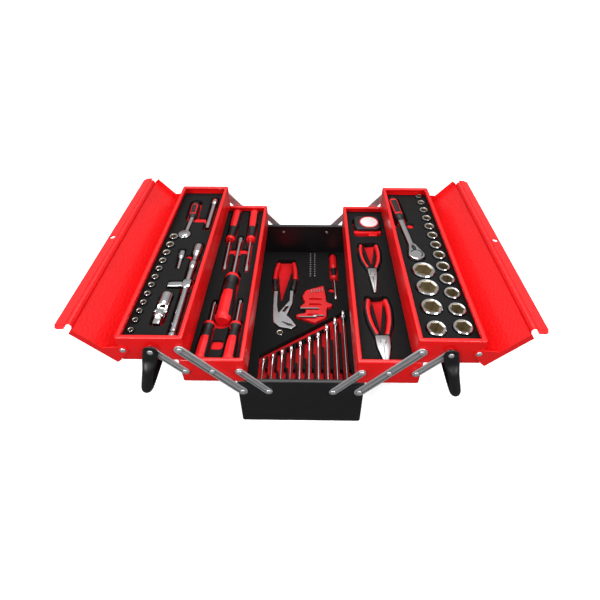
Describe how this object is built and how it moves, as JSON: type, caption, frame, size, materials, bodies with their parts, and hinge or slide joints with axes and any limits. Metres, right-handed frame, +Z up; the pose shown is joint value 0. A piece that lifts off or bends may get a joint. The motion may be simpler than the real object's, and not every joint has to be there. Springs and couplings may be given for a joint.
{
  "type": "cantilever tool case",
  "caption": "Cantilever tool case standing open, with tiered trays on links, hinged lids, carrying handles and hand tools in foam beds.",
  "frame": {"origin": "middle of the bottom tray's underside", "axes": "+Z up, +X the way the trays spread to the right, +Y from the front end to the back end"},
  "size_m": [0.693, 0.4704, 0.2275],
  "materials": {
    "red_paint": "gloss",
    "black_paint": "satin",
    "plated_links": "bright zinc plating",
    "rivet_steel": "plated",
    "tool_chrome": "polished",
    "tool_steel": "satin",
    "black_foam": "fine closed-cell foam",
    "red_foam": "fine closed-cell foam",
    "grip_black": "matte",
    "tape_case": "moulded",
    "holder_plastic": "moulded"
  },
  "bodies": {
    "base": {"bottom_tray": "black_paint", "bottom_tray_rivets": "rivet_steel", "bottom_foam": "black_foam", "bottom_foam_liner": "red_foam", "combination_wrenches": "tool_chrome", "pump_pliers": "tool_steel", "pump_pliers_grips": "grip_black", "screwdriver_bits": "tool_steel", "bit_adapter": "tool_chrome", "small_screwdriver_blade": "tool_chrome", "small_screwdriver_handle": "grip_black", "hex_key_holder": "holder_plastic", "hex_keys": "tool_steel"},
    "left_link": {"left_long_links": "plated_links"},
    "left_middle": {"left_middle_tray": "red_paint", "left_middle_tray_rivets": "rivet_steel", "left_middle_foam": "black_foam", "left_middle_foam_liner": "red_foam", "screwdriver_blades": "tool_chrome", "screwdriver_handles": "grip_black"},
    "left_upper": {"left_upper_tray": "red_paint", "left_upper_tray_rivets": "rivet_steel", "left_lid_rivets": "rivet_steel", "left_upper_foam": "black_foam", "left_upper_foam_liner": "red_foam", "small_ratchet": "tool_chrome", "small_ratchet_grip": "grip_black", "small_sockets": "tool_chrome", "extension_bars": "tool_chrome", "sliding_t_bar": "tool_chrome", "universal_joint": "tool_chrome"},
    "left_lower_link": {"left_lower_links": "plated_links"},
    "left_upper_link": {"left_upper_links": "plated_links"},
    "left_lid": {"left_lid": "red_paint"},
    "left_handle_pins": {"left_handle_rivets": "rivet_steel"},
    "left_handle": {"left_handle": "black_paint"},
    "right_link": {"right_long_links": "plated_links"},
    "right_middle": {"right_middle_tray": "red_paint", "right_middle_tray_rivets": "rivet_steel", "right_middle_foam": "black_foam", "right_middle_foam_liner": "red_foam", "tape_measure": "tape_case", "long_nose_pliers": "tool_steel", "long_nose_pliers_grips": "grip_black", "combination_pliers": "tool_steel", "combination_pliers_grips": "grip_black"},
    "right_upper": {"right_upper_tray": "red_paint", "right_upper_tray_rivets": "rivet_steel", "right_lid_rivets": "rivet_steel", "right_upper_foam": "black_foam", "right_upper_foam_liner": "red_foam", "large_ratchet": "tool_chrome", "large_ratchet_grip": "grip_black", "large_sockets": "tool_chrome"},
    "right_lower_link": {"right_lower_links": "plated_links"},
    "right_upper_link": {"right_upper_links": "plated_links"},
    "right_lid": {"right_lid": "red_paint"},
    "right_handle_pins": {"right_handle_rivets": "rivet_steel"},
    "right_handle": {"right_handle": "black_paint"}
  },
  "joints": [
    {"name": "left_open", "type": "hinge", "parent": "base", "child": "left_link", "pos_m": [-0.092, 0, 0.0865], "axis": [0, 1, 0], "range_deg": [0, 80.1]},
    {"name": "left_middle_level", "type": "hinge", "parent": "left_link", "child": "left_middle", "pos_m": [-0.1335, 0, 0.13588], "axis": [0, 1, 0], "range_deg": [-81, 0.9]},
    {"name": "left_upper_level", "type": "hinge", "parent": "left_link", "child": "left_upper", "pos_m": [-0.175, 0, 0.18525], "axis": [0, 1, 0], "range_deg": [-81, 0.9]},
    {"name": "left_lower_link", "type": "hinge", "parent": "base", "child": "left_lower_link", "pos_m": [-0.051, 0, 0.0865], "axis": [0, 1, 0], "range_deg": [-0.9, 81]},
    {"name": "left_upper_link", "type": "hinge", "parent": "left_middle", "child": "left_upper_link", "pos_m": [-0.1745, 0, 0.13588], "axis": [0, 1, 0], "range_deg": [-0.9, 81]},
    {"name": "left_lid", "type": "hinge", "parent": "left_upper", "child": "left_lid", "pos_m": [-0.258, 0, 0.1825], "axis": [0, 1, 0], "range_deg": [0, 131]},
    {"name": "left_handle_fold", "type": "hinge", "parent": "left_upper", "child": "left_handle_pins", "pos_m": [-0.216, 0, 0.18525], "axis": [0, 1, 0], "range_deg": [-0.5, 45.5]},
    {"name": "left_handle_swing", "type": "hinge", "parent": "left_handle_pins", "child": "left_handle", "pos_m": [-0.216, 0, 0.18525], "axis": [0, 1, 0], "range_deg": [-0.5, 143.5]},
    {"name": "right_open", "type": "hinge", "parent": "base", "child": "right_link", "pos_m": [0.092, 0, 0.0865], "axis": [0, -1, 0], "range_deg": [0, 80.1]},
    {"name": "right_middle_level", "type": "hinge", "parent": "right_link", "child": "right_middle", "pos_m": [0.1335, 0, 0.13588], "axis": [0, -1, 0], "range_deg": [-81, 0.9]},
    {"name": "right_upper_level", "type": "hinge", "parent": "right_link", "child": "right_upper", "pos_m": [0.175, 0, 0.18525], "axis": [0, -1, 0], "range_deg": [-81, 0.9]},
    {"name": "right_lower_link", "type": "hinge", "parent": "base", "child": "right_lower_link", "pos_m": [0.051, 0, 0.0865], "axis": [0, -1, 0], "range_deg": [-0.9, 81]},
    {"name": "right_upper_link", "type": "hinge", "parent": "right_middle", "child": "right_upper_link", "pos_m": [0.1745, 0, 0.13588], "axis": [0, -1, 0], "range_deg": [-0.9, 81]},
    {"name": "right_lid", "type": "hinge", "parent": "right_upper", "child": "right_lid", "pos_m": [0.258, 0, 0.1825], "axis": [0, -1, 0], "range_deg": [0, 131]},
    {"name": "right_handle_fold", "type": "hinge", "parent": "right_upper", "child": "right_handle_pins", "pos_m": [0.216, 0, 0.18525], "axis": [0, -1, 0], "range_deg": [-0.5, 45.5]},
    {"name": "right_handle_swing", "type": "hinge", "parent": "right_handle_pins", "child": "right_handle", "pos_m": [0.216, 0, 0.18525], "axis": [0, -1, 0], "range_deg": [-0.5, 143.5]}
  ],
  "couplings": [
    {"joint": "left_middle_level", "follows": "left_open", "ratio": -1},
    {"joint": "left_upper_level", "follows": "left_open", "ratio": -1},
    {"joint": "left_lower_link", "follows": "left_open", "ratio": 1},
    {"joint": "left_upper_link", "follows": "left_open", "ratio": 1},
    {"joint": "left_handle_fold", "follows": "left_open", "ratio": 0.5618},
    {"joint": "left_handle_swing", "follows": "left_lid", "ratio": 1.0916},
    {"joint": "right_middle_level", "follows": "right_open", "ratio": -1},
    {"joint": "right_upper_level", "follows": "right_open", "ratio": -1},
    {"joint": "right_lower_link", "follows": "right_open", "ratio": 1},
    {"joint": "right_upper_link", "follows": "right_open", "ratio": 1},
    {"joint": "right_handle_fold", "follows": "right_open", "ratio": 0.5618},
    {"joint": "right_handle_swing", "follows": "right_lid", "ratio": 1.0916}
  ]
}
